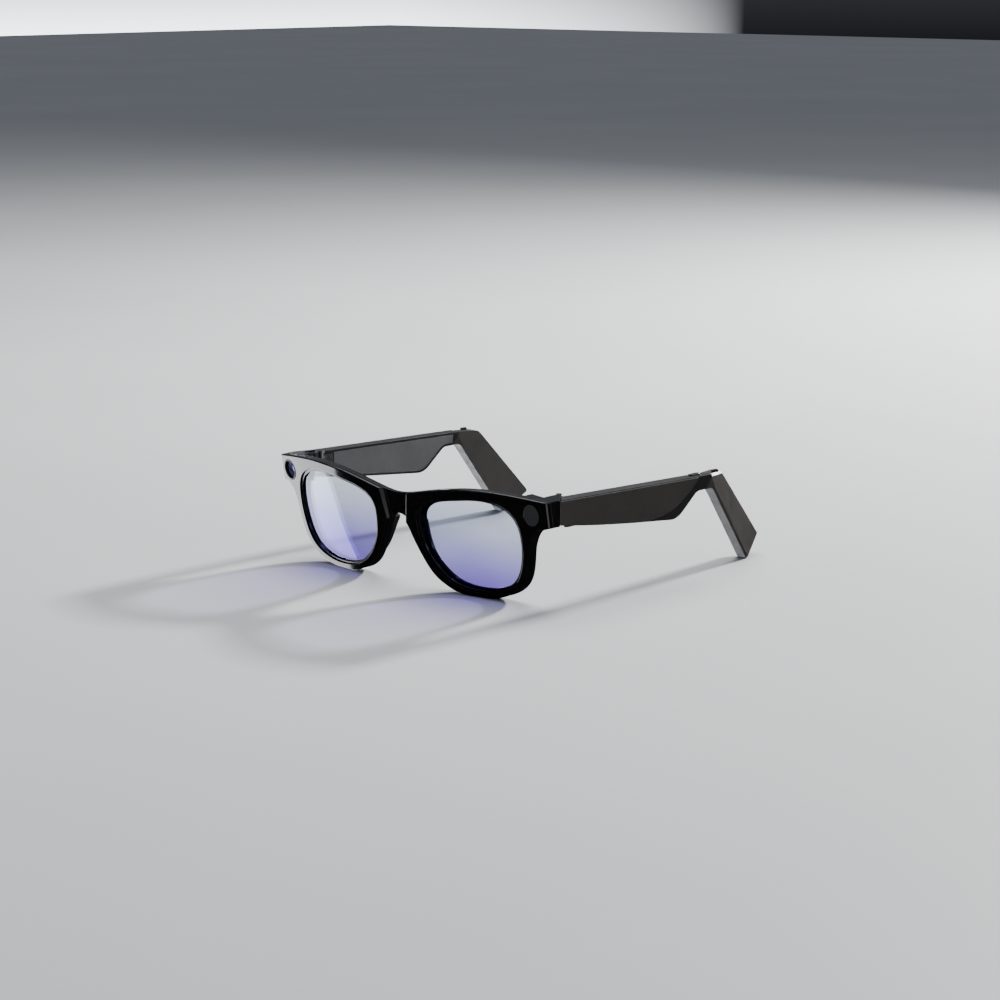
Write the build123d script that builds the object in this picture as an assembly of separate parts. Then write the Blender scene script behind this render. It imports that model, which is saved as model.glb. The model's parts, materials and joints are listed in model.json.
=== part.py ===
from build123d import *
import math
import os

# Smart glasses standing open on a table, in millimetres and degrees.
# Axes while modelling: +X is the wearer's left, +Y runs back along the temples, +Z is up, and
# y = 0 is the front face at the middle of its height. place() then moves every piece so that
# the origin is the centre of the footprint.

# ---------------------------------------------------------------- the front
WRAP_RADIUS = 321.0        # the front curves round the face on this radius
FACE_TILT = 10.0           # the top of the front leans forward
FACE_MID_HEIGHT = 24.0
FRONT_SHELL_DEPTH = 2.6    # where the two halves of the frame meet
FRAME_DEPTH = 4.6          # front face to back face of a rim
LENS_X = 37.0              # middle of the lens opening
LENS_Z = 21.8
LENS_WIDTH = 51.0
LENS_HEIGHT = 39.6
BEZEL_DEPTH = 0.7          # the ring that holds the lens starts this far in
LENS_DEPTH = 1.5           # front face of the lens
LENS_THICKNESS = 1.8
BEZEL_WIDTH = 1.0
REAR_LIP = 1.5             # the rear half reaches this far behind the lens edge
NOSE_PAD_BACK_Y = 8.8     # how far back the nose pads reach
NOSE_PAD_ROUNDING = 0.9
BRIDGE_RECESS = 2.5        # the bridge lies this far behind the rims
BRIDGE_RECESS_TAPER = 24.0
EDGE_ROUNDING = 0.5
BROW_Z = 38.0              # edges above this belong to the brow
SIDE_CORNER_RADIUS = 1.5
GLUE_GAP = 0.05

# ---------------------------------------------------------------- end pieces and hinges
END_PIECE_INNER_X = 62.6
END_BLOCK_BACK_Y = 11.6    # back of the end block behind the camera
END_ARM_INNER_X = 68.7     # the arm that runs back beside the hinge
SEAM_OUTER_Y = 13.6        # the joint with the temple slants from here, outside
SEAM_INNER_X = 70.6        # to this point, inside
SEAM_INNER_Y = 20.0
SEAM_GAP = 0.3
PIVOT_X = 67.2
PIVOT_Y = 22.3
KNUCKLE_RADIUS = 1.6
KNUCKLE_GAP = 0.05
LEAF_THICKNESS = 0.8
HINGE_BOTTOM = 35.4
HINGE_TOP = 43.2
HINGE_MIDDLE_LOW = 37.6
HINGE_MIDDLE_HIGH = 41.0
HINGE_SCREW_RADIUS = 0.7
HINGE_RUNNING_GAP = 0.05
SCREW_HEAD_RADIUS = 1.2
SCREW_HEAD_HEIGHT = 0.6
SLOT_WIDTH = 0.3
SMALL_SCREW_RADIUS = 0.5
SMALL_HEAD_RADIUS = 0.85
SMALL_HEAD_HEIGHT = 0.3
SMALL_SCREW_LENGTH = 1.5
SMALL_SCREW_Z = 39.3

# ---------------------------------------------------------------- camera and indicator
MODULE_X = 68.0
MODULE_Z = 37.9
CAMERA_RADIUS = 4.5
CAMERA_HOLE_RADIUS = 3.7
CAMERA_PROUD = 0.15
CAMERA_CAVITY_DEPTH = 5.0
CAMERA_BEZEL_DEPTH = 1.4   # length of the bezel's seat in the front face
CAMERA_BEZEL_CHAMFER = 0.25
LIGHT_PORT = 4.6           # bore behind the indicator window
INDICATOR_WIDTH = 6.8
INDICATOR_HEIGHT = 8.9
INDICATOR_THICKNESS = 0.9
INDICATOR_PROUD = 0.05

# ---------------------------------------------------------------- the temples
SPLAY = 2.43               # each temple leans outward this much as it runs back
RIGHT_FOLD = 4.5           # the right temple stands this far short of fully open
OUTER_X = 75.2             # outer face of the temple at the seam
PANEL_THICKNESS = 0.9
FILM_THICKNESS = 0.3
WALL_DEPTH = 2.0           # from the outer face to the floor of the pocket
COVER_DEPTH = 5.6          # from the outer face to the back of the inner cover
TEMPLE_THICKNESS = 6.6
RIM = 1.1                  # shell wall seen round the inner cover
PANEL_REVEAL = 0.3
POCKET_START_Y = 31.0
DIAGONAL_Y = 96.5          # the body meets the ear hook at a diagonal that rises from here
DIAGONAL_Z = 25.4
DIAGONAL_LEAN = 35.0
PANEL_CHAMFER = 0.5
HOOK_CHAMFER = 0.9
HOOK_TURN = 16.2           # the ear hook's rear edge turns in towards the head
HOOK_CREASE_Y = 108.0      # the turn starts at a crease through this point
HOOK_CREASE_Z = 36.0
HOOK_CREASE_SLOPE = 27.0   # the crease leans back this much as it goes down
CONTACT_RADIUS = 0.8

# ---------------------------------------------------------------- buttons
CAPTURE_BUTTON_Y = 98.7
POWER_BUTTON_Y = 24.0
BUTTON_LENGTH = 6.4
BUTTON_WIDTH = 2.4
BUTTON_PROUD = 0.75
BUTTON_SUNK = 1.5          # part of the cap that sits below the surface
BUTTON_ROUNDING = 0.35
BUTTON_TRAVEL = 0.3
BUTTON_GAP = 0.1
BUTTON_DEPTH_IN_TEMPLE = 4.2
SWITCH_GAP = 0.05          # left between a pressed cap and its switch
SWITCH_DOME_HEIGHT = 0.6
MICROPHONE_Y = 112.0

# ---------------------------------------------------------------- construction sizes
FAR = 200.0                # larger than the object, for half spaces and long prisms
TALL = 60.0                # taller than the object
IN_FRONT_Y = -5.0          # in front of the end pieces
SKETCH_Y = -12.0
PRISM_LENGTH = 60.0
ORIGIN_X = 1.44            # middle of the frame to the middle of the footprint
ORIGIN_Y = 71.32           # front face to the middle of the footprint
NAMES = {1: "left", -1: "right"}

TILT_SIN = math.sin(math.radians(FACE_TILT))
TILT_COS = math.cos(math.radians(FACE_TILT))
TOP = 1
BOTTOM = -1


def solids_of(shape):
    """The shape as one compound of plain solids."""
    return Compound(children=list(shape.solids()))


def other_side(shape):
    """The wearer's right-hand copy of a left-hand piece."""
    return mirror(shape, about=Plane.YZ)


# ================================================================ front surfaces
def behind(depth):
    """Everything behind the wrapped surface that lies `depth` inside the front face."""
    centre = (0, WRAP_RADIUS * TILT_COS, FACE_MID_HEIGHT + WRAP_RADIUS * TILT_SIN)
    axis = Plane(origin=centre, x_dir=(1, 0, 0), z_dir=(0, -TILT_SIN, TILT_COS))
    return axis * Cylinder(WRAP_RADIUS - depth, FAR)


def layer(face, near, far):
    """The prism of an XZ face along Y, kept between two depths of the front."""
    prism = extrude(face, PRISM_LENGTH, dir=(0, 1, 0))
    return (prism & behind(near)) - behind(far)


def surface_plane(x, z, depth=0.0):
    """A plane on the wrapped face at (x, z), its normal pointing out of the front."""
    turn = math.asin(x / WRAP_RADIUS)
    drop = WRAP_RADIUS * (1 - math.cos(turn))
    up_face = (z - FACE_MID_HEIGHT - drop * TILT_SIN) / TILT_COS
    point = Vector(x, drop * TILT_COS - up_face * TILT_SIN, z)
    normal = Vector(math.sin(turn), -math.cos(turn) * TILT_COS, -math.cos(turn) * TILT_SIN)
    across = Vector(math.cos(turn), math.sin(turn) * TILT_COS, math.sin(turn) * TILT_SIN)
    return Plane(origin=point - normal * depth, x_dir=across, z_dir=normal)


def on_face(x, z, shape, depth):
    """Puts a shape with its top at a given depth below the face, pointing out of it."""
    return surface_plane(x, z, depth) * shape


def xz(x, z):
    """A point of the front's sketch plane."""
    return (x, SKETCH_Y, z)


def curve(points, start, end):
    """A smooth curve through points, leaving and arriving in the given directions."""
    return Spline(*points, tangents=[start, end], tangent_scalars=[1, 1])


def front_outline():
    """Outline of the whole front: brow, end pieces, rims, resting flats and nose gap."""
    brow = curve(
        (xz(0, 38.6), xz(9.8, 40.0), xz(25, 43.1), xz(45, 45.2), xz(60, 44.9), xz(79, 43.2)),
        (1, 0, 0), (1, 0, -0.1))
    end = Polyline(xz(79, 43.2), xz(79, 33.2), xz(73, 33.0))
    temporal = curve(
        (xz(73, 33.0), xz(68.0, 30.3), xz(65.6, 25), xz(64.4, 19), xz(60.5, 8.1), xz(52, 2.1),
         xz(41, 0)),
        (-1, 0, -0.1), (-1, 0, 0))
    rest = Line(xz(41, 0), xz(32, 0))
    nasal = curve(
        (xz(32, 0), xz(24.7, 1.9), xz(17.1, 6.7), xz(11.3, 15), xz(8.2, 21), xz(4.9, 27.2),
         xz(0, 29.5)),
        (-1, 0, 0), (-1, 0, 0))
    half = brow.edges() + end.edges() + temporal.edges() + rest.edges() + nasal.edges()
    return make_face(half + mirror(half, about=Plane.YZ).edges())


def lens_outline(inset):
    """Outline of the left lens opening, drawn smaller by `inset` on every side."""
    across = 1 - inset / (LENS_WIDTH / 2)
    upright = 1 - inset / (LENS_HEIGHT / 2)

    def point(x, z):
        return xz(LENS_X + (x - LENS_X) * across, LENS_Z + (z - LENS_Z) * upright)

    lower = curve(
        (point(11.5, 29), point(12.9, 18.6), point(17.6, 10.6), point(25, 4.6), point(36, 2.0),
         point(48, 3.2), point(57.3, 8.2), point(61.6, 17.5), point(62.5, 26)),
        (0, 0, -1), (0, 0, 1))
    upper = curve(
        (point(62.5, 26), point(59.7, 36.4), point(52, 40.9), point(42, 41.6), point(28, 39.8),
         point(17, 37.0), point(13.2, 34.2), point(11.5, 29)),
        (0, 0, 1), (0, 0, -1))
    return make_face(lower.edges() + upper.edges())


def both_lens_layers(inset, near, far):
    left = layer(lens_outline(inset), near, far)
    return left + other_side(left)


def side_trim():
    """The half space inside the left outer side face, which leans with the temple."""
    block = Pos(-FAR / 2, 0, 0) * Box(FAR, 2 * FAR, 2 * FAR)
    return Pos(OUTER_X, SEAM_OUTER_Y, 0) * Rot(0, 0, -SPLAY) * block


def seam_region(gap):
    """Plan area in front of the slanting joint between end piece and temple, left side."""
    outer_y = SEAM_OUTER_Y + gap
    inner_y = SEAM_INNER_Y + gap
    slant = (inner_y - outer_y) / (SEAM_INNER_X - OUTER_X)
    far_x = OUTER_X + 5
    far_y = outer_y + slant * (far_x - OUTER_X)
    plan = Polyline(
        (END_ARM_INNER_X, inner_y), (SEAM_INNER_X, inner_y), (far_x, far_y), (far_x, IN_FRONT_Y),
        (END_ARM_INNER_X, IN_FRONT_Y), close=True)
    return extrude(make_face(plan), TALL)


# ================================================================ the frame
def end_block():
    """Left end piece behind the front half: a block for the camera or light, and the arm."""
    depth = END_BLOCK_BACK_Y - SKETCH_Y
    block = Pos(END_PIECE_INNER_X, SKETCH_Y, 0) * Box(
        FAR, depth, TALL, align=(Align.MIN, Align.MIN, Align.MIN))
    plan = (block + seam_region(0)) & side_trim()
    outline = extrude(front_outline(), PRISM_LENGTH, dir=(0, 1, 0))
    return plan & outline & behind(FRONT_SHELL_DEPTH)


def bridge_recess():
    """The shallow tapered step across the bridge, wider at the top."""
    plane = Plane(origin=(0, 0, FACE_MID_HEIGHT), x_dir=(1, 0, 0), z_dir=(0, TILT_COS, TILT_SIN))
    shape = Polyline((-9.4, -24), (9.4, -24), (4.4, 2), (-4.4, 2), close=True)
    face = plane * make_face(shape)
    step = extrude(face, BRIDGE_RECESS, taper=BRIDGE_RECESS_TAPER)
    return step + extrude(face, -6)


def module_bore(side, radius, near, far):
    """A round bore square to the face, between two depths."""
    bore = Cylinder(radius, far - near, align=(Align.CENTER, Align.CENTER, Align.MAX))
    return on_face(side * MODULE_X, MODULE_Z, bore, near)


def indicator_plug(width, height, near, far):
    face = Ellipse(width / 2, height / 2)
    plug = extrude(face, -(far - near))
    return on_face(MODULE_X, MODULE_Z, plug, near)


def flex_path(half_height):
    """The ribbon's outline over both brows and the bridge, one half mirrored."""
    middle = curve(
        (xz(0, 37.0), xz(10, 38.3), xz(18, 39.6), xz(28, 41.6), xz(44, 43.35), xz(55, 42.9),
         xz(63.5, 40.6)),
        (1, 0, 0), (1, 0, -0.3))
    upper = Pos(0, 0, half_height) * middle
    lower = Pos(0, 0, -half_height) * middle
    end = Line(upper @ 1, lower @ 1)
    start = Line(lower @ 0, upper @ 0)
    half = make_face(upper.edges() + end.edges() + lower.edges() + start.edges())
    return half + mirror(half, about=Plane.YZ)


def front_block():
    """Everything behind the front face within the outline, its corners and brow rounded."""
    block = extrude(front_outline(), PRISM_LENGTH, dir=(0, 1, 0)) & behind(0)
    block = block & side_trim() & other_side(side_trim())
    edges = block.faces().sort_by(Axis.Y)[0].outer_wire().edges()
    corners = edges.filter_by(lambda edge: abs(edge.center().X) > OUTER_X - 1)
    block = fillet(corners.filter_by(lambda edge: edge.length > 5), SIDE_CORNER_RADIUS)
    edges = block.faces().sort_by(Axis.Y)[0].outer_wire().edges()
    return fillet(edges.filter_by(lambda edge: edge.center().Z > BROW_Z), EDGE_ROUNDING)


def front_shell():
    """The front half: face, brow and rims, open for the lenses and the two modules."""
    shell = front_block() - behind(FRONT_SHELL_DEPTH)
    shell -= both_lens_layers(0, -1, FRONT_SHELL_DEPTH + 1)
    shell -= bridge_recess()
    shell -= module_bore(-1, CAMERA_RADIUS, -2, CAMERA_BEZEL_DEPTH)
    shell -= module_bore(-1, CAMERA_HOLE_RADIUS, 0, CAMERA_CAVITY_DEPTH)
    shell -= indicator_plug(INDICATOR_WIDTH, INDICATOR_HEIGHT, -2, INDICATOR_THICKNESS)
    shell -= module_bore(1, LIGHT_PORT / 2, 0, CAMERA_CAVITY_DEPTH)
    return shell


def front_rear_shell():
    """The rear half: lens lips, end blocks, ribbon channel and microphone pocket."""
    shell = layer(front_outline(), FRONT_SHELL_DEPTH, FRAME_DEPTH)
    shell = shell & side_trim() & other_side(side_trim())
    block = end_block()
    shell = shell + block + other_side(block)
    shell -= both_lens_layers(0, 0, LENS_DEPTH + LENS_THICKNESS)
    shell -= both_lens_layers(REAR_LIP, 0, FRAME_DEPTH + 2)
    shell -= layer(flex_path(0.9), FRONT_SHELL_DEPTH - 1, FRONT_SHELL_DEPTH + 0.6)
    shell -= module_bore(-1, CAMERA_HOLE_RADIUS, 0, CAMERA_CAVITY_DEPTH)
    shell -= module_bore(1, CAMERA_HOLE_RADIUS, 0, CAMERA_CAVITY_DEPTH)
    shell -= microphone_pocket(0.1)
    shell -= leaf_plate(0)
    shell -= other_side(leaf_plate(0))
    return shell


def microphone_pocket(gap):
    size = Box(3.2 + 2 * gap, 1.0 + gap, 2.4 + 2 * gap)
    return on_face(0, 33.4, Rot(90, 0, 0) * size, FRONT_SHELL_DEPTH + 1.0)


# ================================================================ lenses and nose pads
def lens():
    return layer(lens_outline(0.15), LENS_DEPTH, LENS_DEPTH + LENS_THICKNESS)


def lens_bezel():
    ring = layer(lens_outline(GLUE_GAP), BEZEL_DEPTH, LENS_DEPTH - GLUE_GAP)
    return ring - layer(lens_outline(BEZEL_WIDTH), 0, LENS_DEPTH + 1)


def nose_pad():
    """Left pad: built up behind the nasal side of the rim, its rear edge rounded."""
    nasal = Spline(xz(14.3, 11.3), xz(11.6, 15), xz(8.7, 20.8), xz(6.4, 25.6))
    outer = Spline(xz(9.6, 27.4), xz(11.0, 22), xz(13.2, 17), xz(17.0, 12.2))
    top = ThreePointArc(nasal @ 1, xz(7.4, 28.0), outer @ 0)
    low = ThreePointArc(outer @ 1, xz(16.2, 10.6), nasal @ 0)
    face = make_face(nasal.edges() + top.edges() + outer.edges() + low.edges())
    pad = extrude(face, NOSE_PAD_BACK_Y - SKETCH_Y, dir=(0, 1, 0))
    back = pad.faces().sort_by(Axis.Y)[-1]
    return fillet(back.edges(), NOSE_PAD_ROUNDING) & behind(FRAME_DEPTH)


# ================================================================ camera and indicator
def camera_bezel():
    ring = module_bore(-1, CAMERA_RADIUS, -CAMERA_PROUD, CAMERA_BEZEL_DEPTH)
    ring -= module_bore(-1, CAMERA_HOLE_RADIUS, -1, 2)
    front = ring.faces().filter_by(GeomType.PLANE).sort_by(Axis.Y)[0]
    return chamfer(front.edges(), CAMERA_BEZEL_CHAMFER)


def camera_window():
    return module_bore(-1, CAMERA_HOLE_RADIUS - GLUE_GAP, 0.35, 1.15)


def camera_barrel():
    """A stepped tube with a conical mouth that leads down to the lens."""
    tube = module_bore(-1, 3.5, 1.2, 4.1)
    mouth = Cone(2.3, 3.1, 0.9, align=(Align.CENTER, Align.CENTER, Align.MAX))
    tube -= on_face(-MODULE_X, MODULE_Z, mouth, 1.2)
    return tube - module_bore(-1, 2.1, 1.0, 5)


def camera_lens():
    """A domed element that sits in the barrel."""
    dome = Sphere(3.4) & Pos(0, 0, 2.4) * Cylinder(2.0, 2.4)
    return on_face(-MODULE_X, MODULE_Z, Pos(0, 0, -3.4) * dome, 1.5)


def camera_sensor_board():
    board = Box(4.9, 4.9, 0.6, align=(Align.CENTER, Align.CENTER, Align.MAX))
    return on_face(-MODULE_X, MODULE_Z, board, 4.2)


def indicator_window():
    width = INDICATOR_WIDTH - 2 * GLUE_GAP
    height = INDICATOR_HEIGHT - 2 * GLUE_GAP
    return indicator_plug(width, height, -INDICATOR_PROUD, INDICATOR_THICKNESS)


def indicator_light_guide():
    guide = module_bore(1, 2.2, INDICATOR_THICKNESS + GLUE_GAP, 3.6)
    return guide - module_bore(1, 1.0, 2.9, 4)


def indicator_board():
    """A small board with its light source raised into the guide."""
    board = Box(4.8, 4.8, 0.6, align=(Align.CENTER, Align.CENTER, Align.MAX))
    source = Pos(0, 0, -0.1) * Box(1.2, 1.2, 0.6, align=(Align.CENTER, Align.CENTER, Align.MIN))
    return on_face(MODULE_X, MODULE_Z, board + source, 3.9)


# ================================================================ hinges, left side
def pivot_cylinder(radius, low, high):
    tube = Cylinder(radius, high - low, align=(Align.CENTER, Align.CENTER, Align.MIN))
    return Pos(PIVOT_X, PIVOT_Y, low) * tube


def z_block(x_low, x_high, y_low, y_high, z_low, z_high):
    size = (x_high - x_low, y_high - y_low, z_high - z_low)
    return Pos(x_low, y_low, z_low) * Box(*size, align=(Align.MIN, Align.MIN, Align.MIN))


def leaf_plate(gap):
    """The plate let into the inner face of the end piece's arm."""
    return z_block(
        END_ARM_INNER_X - 0.8, END_ARM_INNER_X + LEAF_THICKNESS + gap, END_BLOCK_BACK_Y + 0.05,
        SEAM_INNER_Y, HINGE_BOTTOM - gap, HINGE_TOP)


def hinge_front_leaf():
    plate = leaf_plate(-GLUE_GAP)
    arm = z_block(
        PIVOT_X, END_ARM_INNER_X - 0.4, SEAM_INNER_Y - 1, PIVOT_Y, HINGE_BOTTOM, HINGE_TOP)
    leaf = plate + arm + pivot_cylinder(KNUCKLE_RADIUS, HINGE_BOTTOM, HINGE_TOP)
    middle = pivot_cylinder(KNUCKLE_RADIUS + 0.3, HINGE_MIDDLE_LOW, HINGE_MIDDLE_HIGH)
    middle += z_block(
        PIVOT_X, SEAM_INNER_X, PIVOT_Y - 1, PIVOT_Y + 3, HINGE_MIDDLE_LOW, HINGE_MIDDLE_HIGH)
    leaf -= middle
    return leaf - pivot_cylinder(HINGE_SCREW_RADIUS, HINGE_BOTTOM - 1, HINGE_TOP + 1)


def hinge_screw():
    shank = pivot_cylinder(HINGE_SCREW_RADIUS, HINGE_BOTTOM, HINGE_TOP)
    head = pivot_cylinder(SCREW_HEAD_RADIUS, HINGE_TOP, HINGE_TOP + SCREW_HEAD_HEIGHT)
    slot = z_block(
        PIVOT_X - 2, PIVOT_X + 2, PIVOT_Y - SLOT_WIDTH / 2, PIVOT_Y + SLOT_WIDTH / 2,
        HINGE_TOP + SCREW_HEAD_HEIGHT / 2, HINGE_TOP + 1)
    return shank + head - slot


def small_screw():
    """A slotted screw along +X, its head on the inner side."""
    above = (Align.CENTER, Align.CENTER, Align.MIN)
    below = (Align.CENTER, Align.CENTER, Align.MAX)
    head = Cylinder(SMALL_HEAD_RADIUS, SMALL_HEAD_HEIGHT, align=above)
    slot = Pos(0, 0, SMALL_HEAD_HEIGHT) * Box(2, 0.22, SMALL_HEAD_HEIGHT)
    shank = Cylinder(SMALL_SCREW_RADIUS, SMALL_SCREW_LENGTH, align=below)
    return Rot(0, -90, 0) * (head - slot + shank)


def front_leaf_screw_places():
    x = END_ARM_INNER_X - 0.8
    return [Pos(x, y, SMALL_SCREW_Z) for y in (14.0, 17.2)]


def screw_group(places):
    return Compound(children=[place * small_screw() for place in places])


def screw_holes(places):
    holes = Rot(0, 90, 0) * Cylinder(SMALL_SCREW_RADIUS, 2 * SMALL_SCREW_LENGTH)
    return [place * holes for place in places]


# ================================================================ temple surfaces, left side
def splayed(shape):
    """Turns a piece modelled square to the front into the temple's outward lean."""
    hinge_line = Pos(OUTER_X, SEAM_OUTER_Y, 0)
    return hinge_line * Rot(0, 0, -SPLAY) * hinge_line.inverse() * shape


def inside_side(depth):
    """Everything on the head's side of the surface `depth` inside the temple's outer face."""
    block = Pos(-FAR / 2, 0, 0) * Box(FAR, 2 * FAR, 2 * FAR)
    body = Pos(OUTER_X - depth, 0, 0) * block
    crease = Pos(OUTER_X - depth, HOOK_CREASE_Y, HOOK_CREASE_Z) * Rot(HOOK_CREASE_SLOPE, 0, 0)
    return body & (crease * Rot(0, 0, HOOK_TURN) * block)


def side_layer(face, near, far):
    """The prism of a YZ face along X, kept between two depths of the temple."""
    prism = extrude(face, PRISM_LENGTH, dir=(1, 0, 0))
    return (prism & inside_side(near)) - inside_side(far)


def yz(y, z):
    """A point of the temple's sketch plane."""
    return (OUTER_X - PRISM_LENGTH / 2, y, z)


def yz_face(*points):
    return make_face(Polyline(*[yz(*point) for point in points], close=True))


def temple_profile():
    """Side outline of the temple: body, rounded arch over the ear, and the straight hook."""
    upper = FilletPolyline(
        yz(12, 43.25), yz(116.4, 40.25), yz(145.4, 8.6), yz(133.2, -0.4), yz(107.4, 34.9),
        yz(97.1, 34.8), yz(84.6, 24.8), yz(60, 27.3), radius=[4, 1.2, 1, 4, 5, 10])
    lower = ThreePointArc(yz(60, 27.3), yz(36, 30.1), yz(12, 33.65))
    front = Line(yz(12, 33.65), yz(12, 43.25))
    return make_face(upper.edges() + lower.edges() + front.edges())


def hook_region():
    """Area behind the diagonal line where the body gives way to the ear hook."""
    run = math.tan(math.radians(DIAGONAL_LEAN))
    upper_y = DIAGONAL_Y + 20 * run
    return yz_face(
        (DIAGONAL_Y, -20), (DIAGONAL_Y, DIAGONAL_Z), (upper_y, DIAGONAL_Z + 20), (FAR, TALL),
        (FAR, -20))


def pocket_region():
    return yz_face((POCKET_START_Y, 0), (POCKET_START_Y, TALL), (104.5, TALL), (102.4, 30), (102.4, 0))


def temple_outline(inset):
    return offset(temple_profile(), -inset) if inset else temple_profile()


def along_temple(y_low, y_high, z_low, z_high, near, far):
    """A block inside the temple body, from its place along, its height and its depth."""
    return z_block(OUTER_X - far, OUTER_X - near, y_low, y_high, z_low, z_high)


def hook_frame(along, across):
    """A point of the hook: distance down from its top, and across it towards the rear."""
    start = Vector(0, 110.5, 36.0)
    down = Vector(0, 30.0, -33.0).normalized()
    rear = Vector(0, 33.0, 30.0).normalized()
    point = start + down * along + rear * across
    return (point.Y, point.Z)


def hook_strip(along_low, along_high, half_width):
    return yz_face(
        hook_frame(along_low, -half_width), hook_frame(along_high, -half_width),
        hook_frame(along_high, half_width), hook_frame(along_low, half_width))


def button_place(along, side):
    """The point on the temple's top or under it where a button or insert is centred."""
    if side == TOP:
        height = 43.25 - (along - 12) * 3.0 / 104.4
    else:
        height = 33.65 - (along - 12) * 0.149
    return Pos(OUTER_X - BUTTON_DEPTH_IN_TEMPLE, along, height)


def upward(side):
    """Leaves a piece modelled for the temple's top as it is, or turns it for the underside."""
    return Rot(0 if side == TOP else 180, 0, 0)


def button_solid(along, side, gap):
    """A long button with rounded ends; `gap` widens it to make its hole."""
    outline = SlotOverall(BUTTON_LENGTH + 2 * gap, BUTTON_WIDTH + 2 * gap, rotation=90)
    cap = extrude(Pos(0, 0, -BUTTON_SUNK) * outline, BUTTON_SUNK + BUTTON_PROUD + gap)
    if not gap:
        cap = fillet(cap.faces().sort_by(Axis.Z)[-1].edges(), BUTTON_ROUNDING)
    return button_place(along, side) * upward(side) * cap


# ================================================================ temple pieces, left side
def head_cavity():
    """Room behind the hinge for the power switch and the ribbon."""
    switch_room = along_temple(20.6, 27.6, 33.2, 36.6, 2.6, 5.6)
    ribbon_room = along_temple(21.4, POCKET_START_Y + 1, 37.6, 41.2, 2.4, 3.0)
    return switch_room + ribbon_room


def body_pocket():
    pocket = temple_outline(RIM) & pocket_region()
    return side_layer(pocket, WALL_DEPTH, TEMPLE_THICKNESS + 1)


def temple_leaf_places():
    return [Pos(OUTER_X - TEMPLE_THICKNESS, y, SMALL_SCREW_Z) for y in (26.4, 28.8)]


def leaf_recess(gap):
    return along_temple(
        PIVOT_Y - 0.5, 30.2 + gap, HINGE_MIDDLE_LOW + KNUCKLE_GAP - gap,
        HINGE_MIDDLE_HIGH - KNUCKLE_GAP + gap, TEMPLE_THICKNESS - LEAF_THICKNESS - gap,
        TEMPLE_THICKNESS)


def speaker_slot(gap):
    """The sloping opening under the shoulder that the speaker sounds through."""
    face = yz_face((86.9, 24), (95.4, 30.0), (94.2, 35.2), (85.6, 29.2))
    inner = offset(face, gap) if gap else face
    return side_layer(inner, 3.0 - gap, 4.8 + gap)


def seam_region_square():
    """The end piece's side of the joint, seen from the unsplayed temple."""
    lean = Pos(OUTER_X, SEAM_OUTER_Y, 0)
    inner = z_block(0, END_ARM_INNER_X + 1, IN_FRONT_Y, SEAM_INNER_Y + SEAM_GAP, 0, TALL)
    return lean * Rot(0, 0, SPLAY) * lean.inverse() * (seam_region(SEAM_GAP) + inner)


def temple_shell(has_buttons):
    """The body's structural half: outer wall, rims and the solid head that holds the hinge."""
    shell = side_layer(temple_profile() - hook_region(), PANEL_THICKNESS, TEMPLE_THICKNESS)
    shell -= body_pocket()
    shell -= seam_region_square()
    shell -= leaf_recess(GLUE_GAP)
    shell -= head_cavity()
    shell -= speaker_slot(0)
    for hole in screw_holes(temple_leaf_places()):
        shell -= hole
    if has_buttons:
        shell -= button_solid(POWER_BUTTON_Y, BOTTOM, BUTTON_GAP)
        shell -= button_solid(CAPTURE_BUTTON_Y, TOP, BUTTON_GAP)
    else:
        shell -= touch_film(GLUE_GAP)
    return shell


def hook_rear_edge(hook):
    """The long outer edge down the back of the hook."""
    rear_edges = hook.edges().filter_by(GeomType.LINE).sort_by(lambda edge: edge.length)[-2:]
    return rear_edges.sort_by(Axis.X)[-1]


def ear_hook(has_buttons):
    """The rear moulding: arch over the ear and the straight hook, on a steel core."""
    hook = side_layer(temple_profile() & hook_region(), PANEL_THICKNESS, TEMPLE_THICKNESS)
    hook = chamfer(hook_rear_edge(hook), HOOK_CHAMFER)
    hook -= body_pocket()
    hook -= speaker_slot(0)
    hook -= hook_core()
    hook -= microphone_seat(0)
    if has_buttons:
        hook -= button_solid(CAPTURE_BUTTON_Y, TOP, BUTTON_GAP)
    return hook


def panel_end():
    """Area behind the curve along which the outer panel stops short of the shoulder."""
    edge = Spline(
        yz(62, 26.0), yz(72, 27.5), yz(80.4, 28.9), yz(85.6, 31.2), yz(90.2, 34.2), yz(94.6, 37.4),
        yz(98.6, 42.5))
    back = Polyline(yz(98.6, 42.5), yz(FAR, 42.5), yz(FAR, 0), yz(62, 0), yz(62, 26.0))
    return make_face(edge.edges() + back.edges())


def outer_panel():
    """The satin skin over the body's outer face, its curved rear edge chamfered."""
    face = offset(temple_profile(), -PANEL_REVEAL) - panel_end()
    panel = side_layer(face, 0, PANEL_THICKNESS) - seam_region_square()
    outer_edges = panel.faces().sort_by(Axis.X)[-1].edges()
    rear = outer_edges.sort_by(lambda edge: edge.center().Y)[-1]
    return chamfer(rear, PANEL_CHAMFER)


def inner_cover():
    face = offset(temple_outline(RIM) & pocket_region(), -GLUE_GAP)
    return side_layer(face, COVER_DEPTH, TEMPLE_THICKNESS)


def hook_core():
    return side_layer(hook_strip(-1, 33, 1.5), 3.2, 4.4)


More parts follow.
